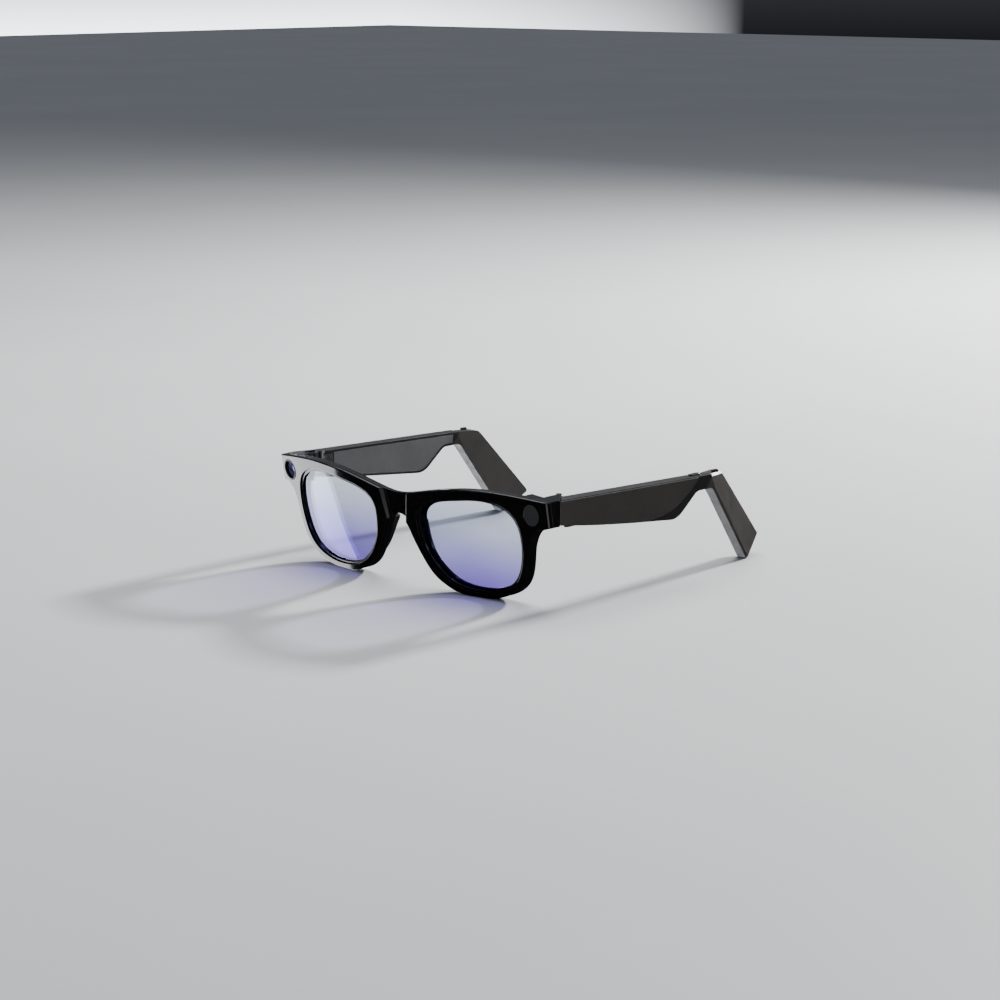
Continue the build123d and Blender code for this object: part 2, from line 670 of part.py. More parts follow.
def hinge_temple_leaf():
    """Plate on the temple's head and the middle knuckle, joined by a short web."""
    low = HINGE_MIDDLE_LOW + KNUCKLE_GAP
    high = HINGE_MIDDLE_HIGH - KNUCKLE_GAP
    knuckle = pivot_cylinder(KNUCKLE_RADIUS, low, high)
    web = z_block(PIVOT_X, PIVOT_X + 2.2, PIVOT_Y, PIVOT_Y + 2.6, low, high)
    plate = splayed(leaf_recess(0) & z_block(0, FAR, PIVOT_Y + 0.8, FAR, 0, TALL))
    leaf = plate + knuckle + (web & splayed(inside_side(TEMPLE_THICKNESS - LEAF_THICKNESS)))
    leaf -= pivot_cylinder(HINGE_SCREW_RADIUS + HINGE_RUNNING_GAP, low - 1, high + 1)
    for hole in screw_holes(temple_leaf_places()):
        leaf -= splayed(hole)
    return leaf


def circuit_board():
    """The main board with the ribbon socket and two chips, each (y, z, length, height)."""
    board = along_temple(33, 60, 32.0, 40.4, 4.0, 4.6)
    for y, z, length, height in ((37, 38, 4.5, 2.6), (44.5, 36.2, 7, 7), (53.5, 37.2, 5, 4.2)):
        board += along_temple(
            y - length / 2, y + length / 2, z - height / 2, z + height / 2, 3.0, 4.0)
    return board


def battery():
    cell = along_temple(61.5, 84, 28.6, 39.8, 2.15, 5.35)
    return fillet(cell.edges().filter_by(Axis.Y), 1.2)


def speaker():
    """An oval driver behind the sloping slot."""
    outline = Pos(OUTER_X - 5.4, 89.0, 36.2) * Rot(0, 90, 0) * SlotOverall(8.6, 5.2, rotation=90)
    body = extrude(outline, 2.9, dir=(1, 0, 0))
    return fillet(body.faces().sort_by(Axis.X)[-1].edges(), 0.4)


def speaker_mesh():
    """A perforated strip that fills the mouth of the slot."""
    face = yz_face((87.9, 27.9), (94.6, 32.3), (94.3, 32.8), (87.6, 28.4))
    return side_layer(offset(face, -GLUE_GAP), 3.0 + GLUE_GAP, 4.8 - GLUE_GAP)


def microphone_seat(gap):
    return button_place(MICROPHONE_Y, TOP) * Box(1.6 - 2 * gap, 2.8 - 2 * gap, 2.0)


def rear_microphone():
    """A small block in the bend, standing a little proud, with its port on top."""
    port = button_place(MICROPHONE_Y, TOP) * Cylinder(0.3, 3)
    return microphone_seat(GLUE_GAP) - port


def temple_flex():
    return along_temple(21.8, 33.4, 38.2, 40.6, 2.55, 2.75)


def touch_film(gap):
    """The thin sensor let into the outer wall under the panel."""
    inner = PANEL_THICKNESS + FILM_THICKNESS + gap
    return along_temple(40 - gap, 78 + gap, 31.4 - gap, 38.6 + gap, PANEL_THICKNESS, inner)


def contact_places():
    return [Pos(OUTER_X - TEMPLE_THICKNESS, y, 34.2) for y in (38.0, 42.5)]


def contact_pin(radius):
    return Rot(0, 90, 0) * Cylinder(radius, 1.6)


def button_switch(along, side):
    """The small dome switch under a button."""
    dome_top = -(BUTTON_SUNK + BUTTON_TRAVEL + SWITCH_GAP)
    below = (Align.CENTER, Align.CENTER, Align.MAX)
    dome = Pos(0, 0, dome_top) * Cylinder(0.7, SWITCH_DOME_HEIGHT, align=below)
    base = Pos(0, 0, dome_top - SWITCH_DOME_HEIGHT) * Box(2.2, 3.2, 1.0, align=below)
    return button_place(along, side) * upward(side) * (base + dome)


# ================================================================ assembly
def front_nodes():
    nodes = {
        "front_shell": front_shell(),
        "front_rear_shell": front_rear_shell(),
        "camera_bezel": camera_bezel(),
        "camera_window": camera_window(),
        "camera_barrel": camera_barrel(),
        "camera_lens": camera_lens(),
        "camera_sensor_board": camera_sensor_board(),
        "indicator_window": indicator_window(),
        "indicator_light_guide": indicator_light_guide(),
        "indicator_board": indicator_board(),
        "front_flex": layer(flex_path(0.7), FRONT_SHELL_DEPTH + 0.1, FRONT_SHELL_DEPTH + 0.35),
        "nose_microphone": microphone_pocket(0),
    }
    paired = {
        "lens": lens(),
        "lens_bezel": lens_bezel(),
        "nose_pad": nose_pad(),
        "hinge_front_leaf": front_leaf_with_holes(),
        "hinge_screw": hinge_screw(),
        "front_leaf_screws": screw_group(front_leaf_screw_places()),
    }
    for name, shape in paired.items():
        nodes[name + "_left"] = shape
        nodes[name + "_right"] = other_side(shape)
    return nodes


def front_leaf_with_holes():
    leaf = hinge_front_leaf()
    for hole in screw_holes(front_leaf_screw_places()):
        leaf -= hole
    return leaf


def right_temple(shape):
    """A left temple piece mirrored to the right and swung in by its resting angle."""
    pivot = Pos(-PIVOT_X, PIVOT_Y, 0)
    return pivot * Rot(0, 0, -RIGHT_FOLD) * pivot.inverse() * other_side(shape)


def temple_nodes(side):
    """Every piece of one temple, modelled on the left and mirrored for the right."""
    has_buttons = side == 1
    pieces = {
        "temple_shell": temple_shell(has_buttons),
        "temple_outer_panel": outer_panel(),
        "temple_inner_cover": inner_cover(),
        "ear_hook": ear_hook(has_buttons),
        "hook_core": hook_core(),
        "temple_leaf_screws": screw_group(temple_leaf_places()),
        "circuit_board": circuit_board(),
        "battery": battery(),
        "speaker": speaker(),
        "speaker_mesh": speaker_mesh(),
        "rear_microphone": rear_microphone(),
        "temple_flex": temple_flex(),
    }
    if has_buttons:
        pieces["capture_button"] = button_solid(CAPTURE_BUTTON_Y, TOP, 0)
        pieces["power_button"] = button_solid(POWER_BUTTON_Y, BOTTOM, 0)
        switches = [button_switch(CAPTURE_BUTTON_Y, TOP), button_switch(POWER_BUTTON_Y, BOTTOM)]
        pieces["button_switches"] = Compound(children=switches)
        pins = [place * contact_pin(CONTACT_RADIUS) for place in contact_places()]
        pieces["charging_contacts"] = Compound(children=pins)
        for place in contact_places():
            pieces["temple_inner_cover"] -= place * contact_pin(CONTACT_RADIUS + GLUE_GAP)
    else:
        pieces["touch_sensor"] = touch_film(0)
    pieces = {name: splayed(shape) for name, shape in pieces.items()}
    pieces["hinge_temple_leaf"] = hinge_temple_leaf()
    one_off = ("capture_button", "power_button", "button_switches", "touch_sensor", "charging_contacts")
    nodes = {}
    for name, shape in pieces.items():
        node = name if name in one_off else name + "_" + NAMES[side]
        nodes[node] = shape if has_buttons else right_temple(shape)
    return nodes


def main():
    os.makedirs("parts", exist_ok=True)
    nodes = front_nodes()
    nodes.update(temple_nodes(1))
    nodes.update(temple_nodes(-1))
    boxes = []
    for name, shape in nodes.items():
        placed = Pos(-ORIGIN_X, -ORIGIN_Y, 0) * solids_of(shape)
        export_step(placed, "parts/" + name + ".step")
        boxes.append(placed.bounding_box())
    lows = [min(getattr(box.min, axis) for box in boxes) for axis in "XYZ"]
    highs = [max(getattr(box.max, axis) for box in boxes) for axis in "XYZ"]
    print("nodes", len(nodes), "lowest corner", lows, "highest corner", highs)


main()
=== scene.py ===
import json
import math

import bpy
import bmesh
import numpy as np
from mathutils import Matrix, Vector


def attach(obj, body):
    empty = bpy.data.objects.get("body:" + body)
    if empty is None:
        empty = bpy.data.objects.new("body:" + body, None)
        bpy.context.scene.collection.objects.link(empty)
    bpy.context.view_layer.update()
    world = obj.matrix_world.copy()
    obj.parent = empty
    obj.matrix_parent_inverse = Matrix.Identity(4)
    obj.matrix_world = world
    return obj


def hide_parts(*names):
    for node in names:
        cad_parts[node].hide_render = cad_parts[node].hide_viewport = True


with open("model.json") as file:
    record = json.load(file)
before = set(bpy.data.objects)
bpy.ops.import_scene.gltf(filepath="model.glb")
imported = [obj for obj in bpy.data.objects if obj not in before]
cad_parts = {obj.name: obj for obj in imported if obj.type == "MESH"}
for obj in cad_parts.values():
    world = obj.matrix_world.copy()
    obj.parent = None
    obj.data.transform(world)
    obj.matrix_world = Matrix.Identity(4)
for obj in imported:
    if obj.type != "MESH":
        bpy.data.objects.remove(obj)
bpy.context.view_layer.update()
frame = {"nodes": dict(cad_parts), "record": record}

MM = 0.001
SIDES = ("left", "right")
EDGE_SAMPLES = 6           # rays that find a nearby edge, in the edge rounding
COAT_POWER = 3.5           # how late a thin coating's reflection rises towards a glancing view
LENS_BOTTOM = 2 * MM       # the lens tint runs from this height
LENS_TOP = 42 * MM         # to this one


# ---------------------------------------------------------------- node helpers
def rgb(value):
    """A colour, given as one or as a grey level."""
    return (value,) * 3 if isinstance(value, (int, float)) else tuple(value)


class Graph:
    """A short way to build one material's nodes."""

    def __init__(self, name):
        self.material = bpy.data.materials.new(name)
        self.material.use_nodes = True
        self.tree = self.material.node_tree
        self.shader = self.tree.nodes["Principled BSDF"]
        self.output = self.tree.nodes["Material Output"]
        coordinate = self.tree.nodes.new("ShaderNodeTexCoord")
        self.place = coordinate.outputs["Object"]

    def node(self, kind, **settings):
        made = self.tree.nodes.new(kind)
        for key, value in settings.items():
            setattr(made, key, value)
        return made

    def link(self, source, target):
        self.tree.links.new(source, target)

    def stretched(self, scale):
        """Object coordinates, scaled differently along each axis."""
        made = self.node("ShaderNodeMapping")
        made.inputs["Scale"].default_value = scale
        self.link(self.place, made.inputs["Vector"])
        return made.outputs["Vector"]

    def noise(self, scale, detail=2.0, rough=0.5, vector=None, distortion=0.0):
        made = self.node("ShaderNodeTexNoise")
        made.inputs["Scale"].default_value = scale
        made.inputs["Detail"].default_value = detail
        made.inputs["Roughness"].default_value = rough
        made.inputs["Distortion"].default_value = distortion
        self.link(vector or self.place, made.inputs["Vector"])
        return made.outputs["Fac"]

    def ramp(self, factor, stops):
        """Colours or greys by factor; each stop is (place, value)."""
        made = self.node("ShaderNodeValToRGB")
        band = made.color_ramp
        while len(band.elements) < len(stops):
            band.elements.new(0.5)
        for element, (place, value) in zip(band.elements, stops):
            element.position = place
            element.color = (*rgb(value), 1)
        self.link(factor, made.inputs["Fac"])
        return made.outputs["Color"]

    def span(self, factor, low, high, start=0.3, end=0.7):
        """A number that runs from low to high as the factor runs from start to end."""
        made = self.node("ShaderNodeMapRange")
        made.inputs["From Min"].default_value = start
        made.inputs["From Max"].default_value = end
        made.inputs["To Min"].default_value = low
        made.inputs["To Max"].default_value = high
        self.link(factor, made.inputs["Value"])
        return made.outputs["Result"]

    def mix(self, factor, a, b):
        made = self.node("ShaderNodeMix", data_type="RGBA")
        self.link(factor, made.inputs[0])
        for socket, value in ((made.inputs[6], a), (made.inputs[7], b)):
            if hasattr(value, "is_linked"):
                self.link(value, socket)
            else:
                socket.default_value = (*rgb(value), 1)
        return made.outputs[2]

    def math(self, how, a, b=0.0):
        made = self.node("ShaderNodeMath", operation=how)
        for socket, value in ((made.inputs[0], a), (made.inputs[1], b)):
            if hasattr(value, "is_linked"):
                self.link(value, socket)
            else:
                socket.default_value = value
        return made.outputs[0]

    def rounded(self, radius):
        """The surface normal with sharp edges softened over a small radius."""
        made = self.node("ShaderNodeBevel", samples=EDGE_SAMPLES)
        made.inputs["Radius"].default_value = radius
        return made.outputs["Normal"]

    def edges(self, radius):
        """One near an edge, zero on open surfaces."""
        soft = self.rounded(radius)
        geometry = self.node("ShaderNodeNewGeometry")
        made = self.node("ShaderNodeVectorMath", operation="DOT_PRODUCT")
        self.link(soft, made.inputs[0])
        self.link(geometry.outputs["Normal"], made.inputs[1])
        return self.span(made.outputs["Value"], 1.0, 0.0, start=0.8, end=0.99)

    def bump(self, height, strength, distance, normal=None):
        made = self.node("ShaderNodeBump")
        made.inputs["Strength"].default_value = strength
        made.inputs["Distance"].default_value = distance
        self.link(height, made.inputs["Height"])
        if normal is not None:
            self.link(normal, made.inputs["Normal"])
        self.link(made.outputs["Normal"], self.shader.inputs["Normal"])

    def sheen(self, least, most):
        """How much a thin coating reflects: little face on, much at a glancing view."""
        facing = self.node("ShaderNodeLayerWeight")
        facing.inputs["Blend"].default_value = 0.5
        slant = self.math("POWER", facing.outputs["Facing"], COAT_POWER)
        return self.span(slant, least, most, 0, 1)

    def coated_pane(self, tint, shine, roughness, least, most):
        """A clear tinted pane whose surfaces carry a coloured reflection."""
        through = self.node("ShaderNodeBsdfTransparent")
        self.link(tint, through.inputs["Color"])
        coating = self.node("ShaderNodeBsdfGlossy")
        self.link(shine, coating.inputs["Color"])
        self.link(roughness, coating.inputs["Roughness"])
        blend = self.node("ShaderNodeMixShader")
        self.link(self.sheen(least, most), blend.inputs["Fac"])
        self.link(through.outputs["BSDF"], blend.inputs[1])
        self.link(coating.outputs["BSDF"], blend.inputs[2])
        self.tree.nodes.remove(self.shader)
        self.link(blend.outputs["Shader"], self.output.inputs["Surface"])

    def set(self, socket, value):
        target = self.shader.inputs[socket]
        if hasattr(value, "is_linked"):
            self.link(value, target)
        elif isinstance(value, (tuple, list)):
            target.default_value = (*value, 1)
        else:
            target.default_value = value


# ---------------------------------------------------------------- materials
def polished_plastic(name, dark, light, roughness, edge_light=0.05, rounding=0.00025):
    """Moulded black plastic, polished: faint mottling, fine scuffs, paler worn edges."""
    g = Graph(name)
    mottle = g.noise(140, 3)
    scuffs = g.noise(900, 4, 0.7, g.stretched((1, 0.35, 1.6)), 0.4)
    worn = g.math("MULTIPLY", g.edges(rounding * 1.4), g.span(g.noise(420, 3), 0, 1, 0.45, 0.75))
    base = g.ramp(mottle, ((0.3, dark), (0.7, light)))
    g.set("Base Color", g.mix(worn, base, edge_light))
    gloss = g.span(scuffs, roughness * 0.75, roughness * 1.5)
    g.set("Roughness", g.math("ADD", gloss, g.math("MULTIPLY", worn, 0.12)))
    g.set("IOR", 1.5)
    g.bump(g.noise(1600, 2), 0.02, 0.00002, g.rounded(rounding))
    return g.material


def satin_plastic(name, dark, light, roughness, grain=0.12, edge_light=0.16, rounding=0.0003):
    """Fine-textured moulded plastic with a soft sheen and rubbed edges."""
    g = Graph(name)
    mottle = g.noise(60, 4, 0.6)
    fine = g.noise(3200, 2, 0.5)
    worn = g.math("MULTIPLY", g.edges(rounding * 1.5), g.span(g.noise(260, 4), 0, 0.8, 0.42, 0.72))
    base = g.ramp(mottle, ((0.32, dark), (0.68, light)))
    flecks = g.mix(g.span(fine, 0, 0.35, 0.5, 0.75), base, tuple(1.7 * v for v in rgb(light)))
    g.set("Base Color", g.mix(worn, flecks, edge_light))
    g.set("Roughness", g.span(g.noise(300, 3), roughness * 0.85, roughness * 1.15))
    g.set("IOR", 1.48)
    g.bump(fine, grain, 0.00004, g.rounded(rounding))
    return g.material


def brushed_metal(name, dark, light, roughness, along=(1, 1, 14), rounding=0.0001):
    """Metal with fine parallel brush lines."""
    g = Graph(name)
    lines = g.noise(1500, 3, 0.6, g.stretched(along))
    stains = g.noise(300, 3)
    base = g.mix(g.span(stains, 0, 0.3), g.ramp(lines, ((0.3, dark), (0.7, light))), dark)
    g.set("Base Color", base)
    g.set("Metallic", 1.0)
    g.set("Roughness", g.span(lines, roughness * 0.7, roughness * 1.4))
    g.bump(lines, 0.15, 0.00003, g.rounded(rounding))
    return g.material


def woven_mesh(name):
    """Dark woven metal mesh: two crossed waves cut deep."""
    g = Graph(name)
    waves = []
    for direction in ("Y", "Z"):
        made = g.node("ShaderNodeTexWave", bands_direction=direction)
        made.inputs["Scale"].default_value = 900
        g.link(g.place, made.inputs["Vector"])
        waves.append(made.outputs["Fac"])
    weave = g.math("MAXIMUM", waves[0], waves[1])
    g.set("Base Color", g.ramp(weave, ((0.4, 0.004), (0.8, 0.12))))
    g.set("Metallic", 1.0)
    g.set("Roughness", g.span(weave, 0.6, 0.35, 0.2, 0.9))
    g.bump(weave, 0.8, 0.0001)
    return g.material


def printed_board(name):
    """Green solder mask with copper tracks faintly raised under it."""
    g = Graph(name)
    cells = g.node("ShaderNodeTexVoronoi", feature="DISTANCE_TO_EDGE")
    cells.inputs["Scale"].default_value = 700
    g.link(g.place, cells.inputs["Vector"])
    tracks = cells.outputs["Distance"]
    g.set("Base Color", g.ramp(tracks, ((0.05, (0.03, 0.16, 0.08)), (0.12, (0.01, 0.07, 0.035)))))
    g.set("Roughness", g.span(g.noise(500, 2), 0.3, 0.5))
    g.bump(tracks, 0.3, 0.00003)
    return g.material


def foil_pouch(name):
    """Creased metal foil."""
    g = Graph(name)
    creases = g.noise(250, 5, 0.6)
    g.set("Base Color", g.ramp(creases, ((0.3, 0.45), (0.7, 0.68))))
    g.set("Metallic", 1.0)
    g.set("Roughness", g.span(creases, 0.25, 0.45))
    g.bump(creases, 0.35, 0.0001)
    return g.material


def amber_ribbon(name):
    """Amber film with fine conductor lines in it."""
    g = Graph(name)
    lines = g.node("ShaderNodeTexWave", bands_direction="Z")
    lines.inputs["Scale"].default_value = 700
    g.link(g.place, lines.inputs["Vector"])
    g.set("Base Color", g.ramp(lines.outputs["Fac"], (
        (0.4, (0.30, 0.13, 0.02)), (0.6, (0.42, 0.2, 0.05)))))
    g.set("Roughness", g.span(g.noise(400, 2), 0.3, 0.45))
    g.bump(lines.outputs["Fac"], 0.2, 0.00003)
    return g.material


def lens_material(name):
    """Clear spectacle lens: bluish clear at the top, lavender lower down, with a coating."""
    g = Graph(name)
    parts = g.node("ShaderNodeSeparateXYZ")
    g.link(g.place, parts.inputs["Vector"])
    height = g.span(parts.outputs["Z"], 0, 1, LENS_BOTTOM, LENS_TOP)
    cloud = g.math("ADD", height, g.span(g.noise(22, 2), -0.08, 0.08))
    tint = g.ramp(cloud, (
        (0.0, (0.44, 0.36, 0.77)), (0.35, (0.60, 0.58, 0.86)), (0.7, (0.76, 0.79, 0.90)),
        (1.0, (0.84, 0.88, 0.93))))
    shine = g.ramp(cloud, (
        (0.0, (0.50, 0.42, 1.0)), (0.45, (0.66, 0.64, 1.0)), (1.0, (0.85, 0.93, 1.0))))
    g.coated_pane(tint, shine, g.span(g.noise(700, 3), 0.01, 0.04), 0.035, 0.8)
    return g.material


def clear_window(name):
    """Flat cover glass, nearly invisible but for its reflections."""
    g = Graph(name)
    tint = g.ramp(g.noise(90, 2), ((0.3, (0.84, 0.84, 0.95)), (0.7, (0.90, 0.90, 0.98))))
    shine = g.ramp(g.noise(300, 2), ((0.3, (0.5, 0.5, 0.9)), (0.7, (0.6, 0.6, 1.0))))
    g.coated_pane(tint, shine, g.span(g.noise(600, 2), 0.02, 0.05), 0.002, 0.04)
    return g.material


def coated_lens(name):
    """A small camera lens with a painted violet-blue coating sheen: its colour is set by viewing angle and
    darkens to its face-on middle.
    """
    g = Graph(name)
    facing = g.node("ShaderNodeLayerWeight")
    facing.inputs["Blend"].default_value = 0.35
    # painted sheen: the coating's violet-blue reflection is painted into the base colour by how squarely
    # each point faces the view, darker face on
    ring = g.ramp(facing.outputs["Facing"], (
        (0.0, (0.05, 0.03, 0.22)), (0.25, (0.12, 0.08, 0.55)), (0.6, (0.05, 0.03, 0.16)),
        (1.0, (0.01, 0.01, 0.02))))
    g.set("Base Color", g.mix(g.span(g.noise(900, 2), 0, 0.25), ring, (0.02, 0.02, 0.09)))
    g.set("Metallic", 0.6)
    g.set("Roughness", g.span(g.noise(1500, 2), 0.05, 0.1))
    g.set("Coat Weight", 1.0)
    g.set("Coat Roughness", 0.02)
    return g.material


def frosted(name):
    """Clear plastic with a matt surface that scatters light."""
    g = Graph(name)
    grain = g.noise(2000, 2)
    g.set("Base Color", g.ramp(grain, ((0.3, 0.6), (0.7, 0.8))))
    g.set("Roughness", g.span(grain, 0.4, 0.6))
    g.set("Transmission Weight", 0.7)
    g.bump(grain, 0.2, 0.00004)
    return g.material


def pale_floor(name):
    """A pale table top, faintly clouded."""
    g = Graph(name)
    cloud = g.noise(3, 3)
    fine = g.noise(600, 3)
    g.set("Base Color", g.ramp(cloud, ((0.3, (0.66, 0.67, 0.68)), (0.7, (0.71, 0.72, 0.73)))))
    g.set("Roughness", g.span(fine, 0.5, 0.62))
    g.bump(fine, 0.04, 0.0001)
    return g.material


LOOKS = {
    "front_gloss": polished_plastic("front_gloss", 0.0035, 0.0055, 0.055),
    "front_rear": polished_plastic("front_rear", 0.004, 0.0065, 0.13),
    "bezel": polished_plastic("bezel", 0.006, 0.009, 0.12, 0.08, 0.00012),
    "camera_ring": polished_plastic("camera_ring", 0.003, 0.005, 0.42, 0.03, 0.0001),
    "button": polished_plastic("button", 0.010, 0.016, 0.24, 0.09, 0.00015),
    "temple_skin": satin_plastic("temple_skin", (0.038, 0.034, 0.031), (0.047, 0.042, 0.038), 0.42),
    "temple_shell": satin_plastic("temple_shell", 0.012, 0.016, 0.38),
    "inner_cover": satin_plastic("inner_cover", 0.10, 0.13, 0.42, 0.12, 0.22),
    "nose_pad": satin_plastic("nose_pad", 0.012, 0.017, 0.34),
    "indicator_window": satin_plastic("indicator_window", 0.034, 0.042, 0.5, 0.18, 0.09, 0.00015),
    "microphone": satin_plastic("microphone", 0.010, 0.014, 0.4, 0.1, 0.05, 0.0001),
    "speaker_body": satin_plastic("speaker_body", 0.02, 0.03, 0.45),
    "hinge_steel": brushed_metal("hinge_steel", 0.16, 0.28, 0.28),
    "switch_metal": brushed_metal("switch_metal", 0.5, 0.65, 0.3),
    "contact_gold": brushed_metal("contact_gold", (0.62, 0.42, 0.14), (0.83, 0.60, 0.26), 0.25),
    "speaker_mesh": woven_mesh("speaker_mesh"),
    "circuit_board": printed_board("circuit_board"),
    "battery_foil": foil_pouch("battery_foil"),
    "ribbon": amber_ribbon("ribbon"),
    "lens_glass": lens_material("lens_glass"),
    "camera_window": clear_window("camera_window"),
    "camera_lens": coated_lens("camera_lens"),
    "light_guide": frosted("light_guide"),
}


def dress_frame():
    """Gives every CAD node its slot's material."""
    for row in frame["record"]["subparts"]:
        mesh = frame["nodes"][row["node"]].data
        mesh.materials.clear()
        mesh.materials.append(LOOKS[row["material_slot"]])


# ---------------------------------------------------------------- lenses
WELD_DISTANCE = 1e-6
FRONT_FACING = -0.7        # a face whose normal's Y is below this looks forward
def boundary_loop(mesh, facing):
    """The outline of a mesh's front face, walked round in order, as (x, y, z) points."""
    shape = bmesh.new()
    shape.from_mesh(mesh)
    bmesh.ops.remove_doubles(shape, verts=shape.verts, dist=WELD_DISTANCE)
    front = [f for f in shape.faces if f.normal.y < facing]
    chosen = set(front)
    rim = [e for e in shape.edges
           if sum(face in chosen for face in e.link_faces) == 1]
    ahead = {}
    for edge in rim:
        for vert, other in (edge.verts, reversed(edge.verts)):
            ahead.setdefault(vert, []).append(other)
    start = rim[0].verts[0]
    loop, last, here = [start], None, start
    while True:
        options = [v for v in ahead[here] if v is not last]
        last, here = here, options[0]
        if here is start:
            break
        loop.append(here)
    points = [(v.co.x, v.co.y, v.co.z) for v in loop]
    shape.free()
    return points


def even_loop(points, count):
    """The closed outline resampled to evenly spaced points."""
    ring = np.array(points + points[:1])
    run = np.concatenate(([0], np.cumsum(np.linalg.norm(np.diff(ring, axis=0), axis=1))))
    places = np.linspace(0, run[-1], count, endpoint=False)
    return np.stack([np.interp(places, run, ring[:, k]) for k in range(3)], axis=1)


LENS_THICKNESS = 1.8 * MM
LENS_DOME = 1.1 * MM       # how much further the middle stands out than the wrapped front
RIM_POINTS = 160
LENS_RINGS = 26
LENS_BEVEL = 0.25 * MM


class LensSurface:
    """The smooth domed surface through a lens's rim, in the lens's own plane."""

    def __init__(self, rim):
        self.middle = (rim.max(axis=0) + rim.min(axis=0)) / 2
        quarter = RIM_POINTS // 4
        out = np.cross(rim[quarter] - rim[3 * quarter], rim[0] - rim[2 * quarter])
        self.out = out / np.linalg.norm(out) * -np.sign(out[1])
        self.across = np.cross((0, 0, 1), self.out)
        self.across /= np.linalg.norm(self.across)
        self.upright = np.cross(self.out, self.across)
        offset = rim - self.middle
        self.u, self.v, height = offset @ self.across, offset @ self.upright, offset @ self.out
        terms = np.stack([np.ones_like(self.u), self.u, self.v, self.u ** 2], axis=1)
        self.fit = np.linalg.lstsq(terms, height, rcond=None)[0]
        self.half = (np.abs(self.u).max(), np.abs(self.v).max())
        self.residual = height - self.height(self.u, self.v)

    def height(self, u, v):
        dome = LENS_DOME * (1 - (u / self.half[0]) ** 2 - (v / self.half[1]) ** 2)
        return self.fit[0] + self.fit[1] * u + self.fit[2] * v + self.fit[3] * u * u + dome

    def ring(self, level, lift):
        """One ring of points, `level` times the rim's size and `lift` above the surface."""
        u, v = self.u * level, self.v * level
        top = self.height(u, v) + self.residual * level ** 4 + lift
        return self.middle + np.outer(u, self.across) + np.outer(v, self.upright) + np.outer(top, self.out)

    def centre(self, lift):
        return self.middle + self.out * (self.height(0.0, 0.0) + lift)


def lens_half(surface, back):
    """Rings from the rim to the middle on one face of a lens, and its centre point."""
    shrink = LENS_BEVEL / surface.half[1]
    levels = [1, 1 - 0.35 * shrink, 1 - shrink]
    levels += list(np.linspace(levels[-1], 0, LENS_RINGS + 1)[1:-1])
    drops = [LENS_BEVEL, 0.25 * LENS_BEVEL] + [0] * (len(levels) - 2)
    sign = -1 if back else 1
    depth = -LENS_THICKNESS if back else 0
    rings = [surface.ring(level, depth - sign * drop) for level, drop in zip(levels, drops)]
    return rings, surface.centre(depth)


def make_lens(side):
    """A domed lens on the outline of the CAD lens, its rim bevelled."""
    node = "lens_" + side
    rim = even_loop(boundary_loop(frame["nodes"][node].data, FRONT_FACING), RIM_POINTS)
    surface = LensSurface(rim)
    verts, faces = [], []
    starts = []
    for back in (False, True):
        rings, centre = lens_half(surface, back)
        start = len(verts)
        starts.append(start)
        for ring in rings:
            verts.extend(ring)
        verts.append(centre)
        for row in range(len(rings) - 1):
            a = start + row * RIM_POINTS
            b = a + RIM_POINTS
            for k in range(RIM_POINTS):
                n = (k + 1) % RIM_POINTS
                faces.append((a + k, a + n, b + n, b + k))
        last = start + (len(rings) - 1) * RIM_POINTS
        for k in range(RIM_POINTS):
            faces.append((last + k, last + (k + 1) % RIM_POINTS, len(verts) - 1))
    for k in range(RIM_POINTS):
        n = (k + 1) % RIM_POINTS
        faces.append((starts[0] + k, starts[0] + n, starts[1] + n, starts[1] + k))
    piece = new_piece("lens_curved_" + side, verts, faces, "lens_glass", "front")
    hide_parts(node)


def new_piece(name, verts, faces, slot, body):
    """A smooth closed mesh that rides on a body, dressed in a slot's material."""
    mesh = bpy.data.meshes.new(name)
    mesh.from_pydata([tuple(v) for v in verts], [], faces)
    shape = bmesh.new()
    shape.from_mesh(mesh)
    bmesh.ops.recalc_face_normals(shape, faces=shape.faces)
    shape.to_mesh(mesh)
    shape.free()
    mesh.shade_smooth()
    mesh.materials.append(LOOKS[slot])
    piece = bpy.data.objects.new(name, mesh)
    bpy.context.scene.collection.objects.link(piece)
    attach(piece, body)
    return piece


# ---------------------------------------------------------------- stage
FLOOR_HALF_WIDTH = 6


def make_floor():
    """A flat pale floor that polished surfaces don't mirror, so that they show the room."""
    mesh = bpy.data.meshes.new("floor")
    shape = bmesh.new()
    bmesh.ops.create_grid(shape, x_segments=8, y_segments=8, size=FLOOR_HALF_WIDTH)
    shape.to_mesh(mesh)
    shape.free()
    floor = bpy.data.objects.new("floor", mesh)
    bpy.context.scene.collection.objects.link(floor)
    mesh.materials.append(pale_floor("pale_floor"))
    floor.visible_glossy = False


def area_light(name, place, target, size, power, colour=(1, 1, 1)):
    data = bpy.data.lights.new(name, "AREA")
    data.shape = "RECTANGLE"
    data.size, data.size_y = size
    data.energy = power
    data.color = colour
    made = bpy.data.objects.new(name, data)
    made.location = place
    made.rotation_euler = (Vector(target) - Vector(place)).to_track_quat("-Z", "Y").to_euler()
    bpy.context.scene.collection.objects.link(made)


ROOM_COLOUR = (0.16, 0.17, 0.19, 1)
UNDER_COLOUR = (0.006, 0.006, 0.008, 1)
CARD_COLOUR = (7.0, 7.2, 7.6, 1)
CARD_SLOPE = -2.0          # the left card ends where X is this many times -Y
STRIP_COLOUR = (1.6, 1.6, 1.6, 1)


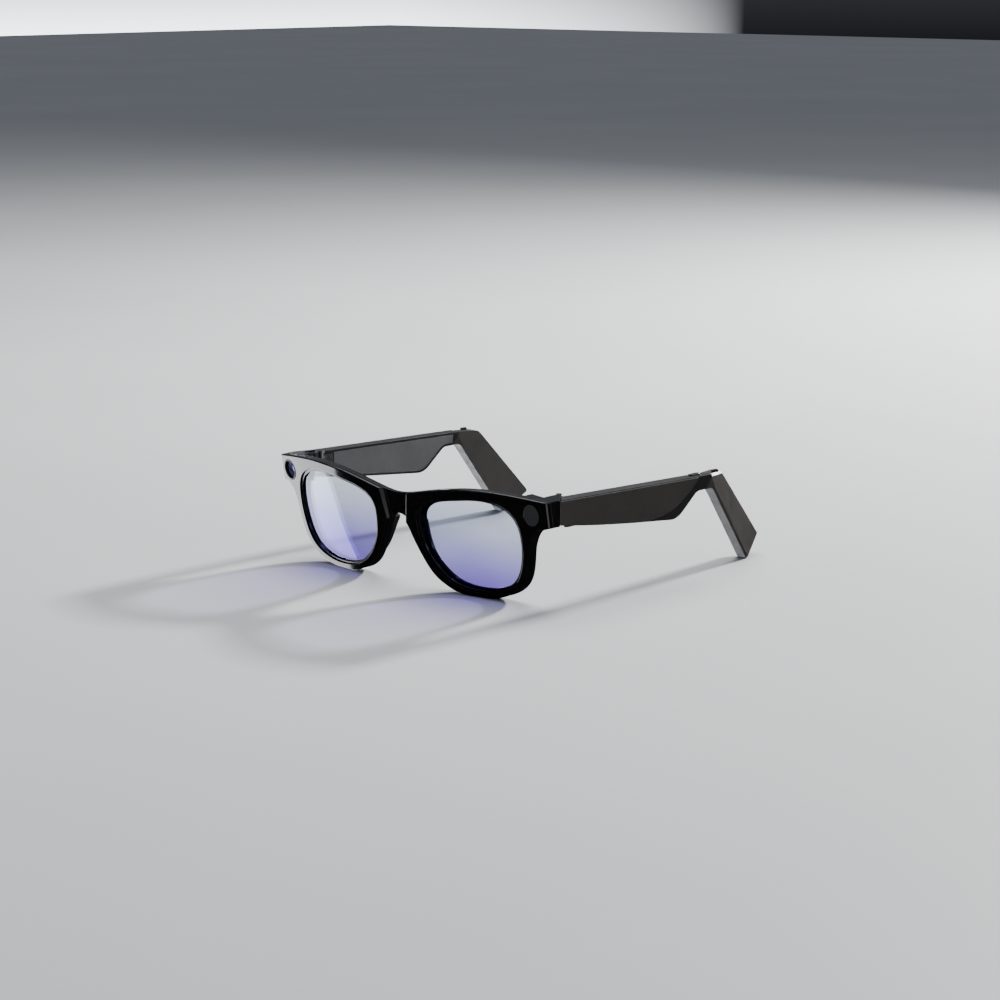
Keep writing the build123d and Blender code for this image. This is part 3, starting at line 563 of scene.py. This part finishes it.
class Studio:
    """The world's light by direction: a grey room, dark below, with cards laid over it."""

    def __init__(self, world):
        world.use_nodes = True
        self.tree = world.node_tree
        coordinate = self.tree.nodes.new("ShaderNodeTexCoord")
        parts = self.tree.nodes.new("ShaderNodeSeparateXYZ")
        self.tree.links.new(coordinate.outputs["Generated"], parts.inputs["Vector"])
        self.x, self.y, self.z = parts.outputs

    def step(self, source, start, end):
        """Zero before start and one past end."""
        made = self.tree.nodes.new("ShaderNodeMapRange")
        made.inputs["From Min"].default_value = start
        made.inputs["From Max"].default_value = end
        self.tree.links.new(source, made.inputs["Value"])
        return made.outputs["Result"]

    def times(self, a, b):
        made = self.tree.nodes.new("ShaderNodeMath")
        made.operation = "MULTIPLY"
        self.tree.links.new(a, made.inputs[0])
        self.tree.links.new(b, made.inputs[1])
        return made.outputs[0]

    def slanted(self, slope):
        """X plus slope times Y."""
        made = self.tree.nodes.new("ShaderNodeMath")
        made.operation = "MULTIPLY_ADD"
        made.inputs[1].default_value = slope
        self.tree.links.new(self.y, made.inputs[0])
        self.tree.links.new(self.x, made.inputs[2])
        return made.outputs[0]

    def lay(self, under, where, colour):
        """A colour laid over what is under it, where the factor is one."""
        made = self.tree.nodes.new("ShaderNodeMix")
        made.data_type = "RGBA"
        self.tree.links.new(where, made.inputs[0])
        if hasattr(under, "is_linked"):
            self.tree.links.new(under, made.inputs[6])
        else:
            made.inputs[6].default_value = under
        made.inputs[7].default_value = colour
        return made.outputs[2]


def make_world():
    """A soft grey room, dark below the table, with a white card low on each side."""
    world = bpy.data.worlds.new("studio")
    bpy.context.scene.world = world
    studio = Studio(world)
    room = studio.lay(UNDER_COLOUR, studio.step(studio.z, -0.04, 0.12), ROOM_COLOUR)
    below = studio.step(studio.z, 0.0, -0.05)
    left = studio.step(studio.x, -0.60, -0.70)
    ahead = studio.step(studio.slanted(CARD_SLOPE), 0.01, -0.01)
    with_card = studio.lay(room, studio.times(studio.times(ahead, left), below), CARD_COLOUR)
    right = studio.times(studio.step(studio.x, 0.84, 0.88), below)
    with_strip = studio.lay(with_card, right, STRIP_COLOUR)
    background = studio.tree.nodes["Background"]
    studio.tree.links.new(with_strip, background.inputs["Color"])
    background.inputs["Strength"].default_value = 1.0


CAMERA_PLACE = (0.71213, -0.79572, 0.25077)
CAMERA_BACK = (0.65734, -0.72444, 0.20757)
CAMERA_LENS_MM = 92.5
SENSOR_WIDTH_MM = 36
NEAR_CLIP = 0.01


def make_camera():
    data = bpy.data.cameras.new("camera")
    data.lens = CAMERA_LENS_MM
    data.sensor_width = SENSOR_WIDTH_MM
    data.clip_start = NEAR_CLIP
    camera = bpy.data.objects.new("camera", data)
    camera.location = CAMERA_PLACE
    camera.rotation_euler = Vector(CAMERA_BACK).to_track_quat("Z", "Y").to_euler()
    bpy.context.scene.collection.objects.link(camera)
    bpy.context.scene.camera = camera


dress_frame()
for side in SIDES:
    make_lens(side)
make_floor()
make_world()
make_camera()
KEY_ELEVATION = math.radians(24)
KEY_DISTANCE = 1.5
key_place = (0.06, KEY_DISTANCE * math.cos(KEY_ELEVATION), KEY_DISTANCE * math.sin(KEY_ELEVATION))
area_light("key", key_place, (0, 0, 0.02), (0.16, 0.12), 46)
area_light("top", (-0.35, 0.35, 1.2), (0, 0, 0), (1.0, 1.0), 16)
area_light("near_side", (1.0, 1.0, 0.5), (0.08, 0.0, 0.03), (0.5, 0.3), 1.0, (1.0, 0.97, 0.94))
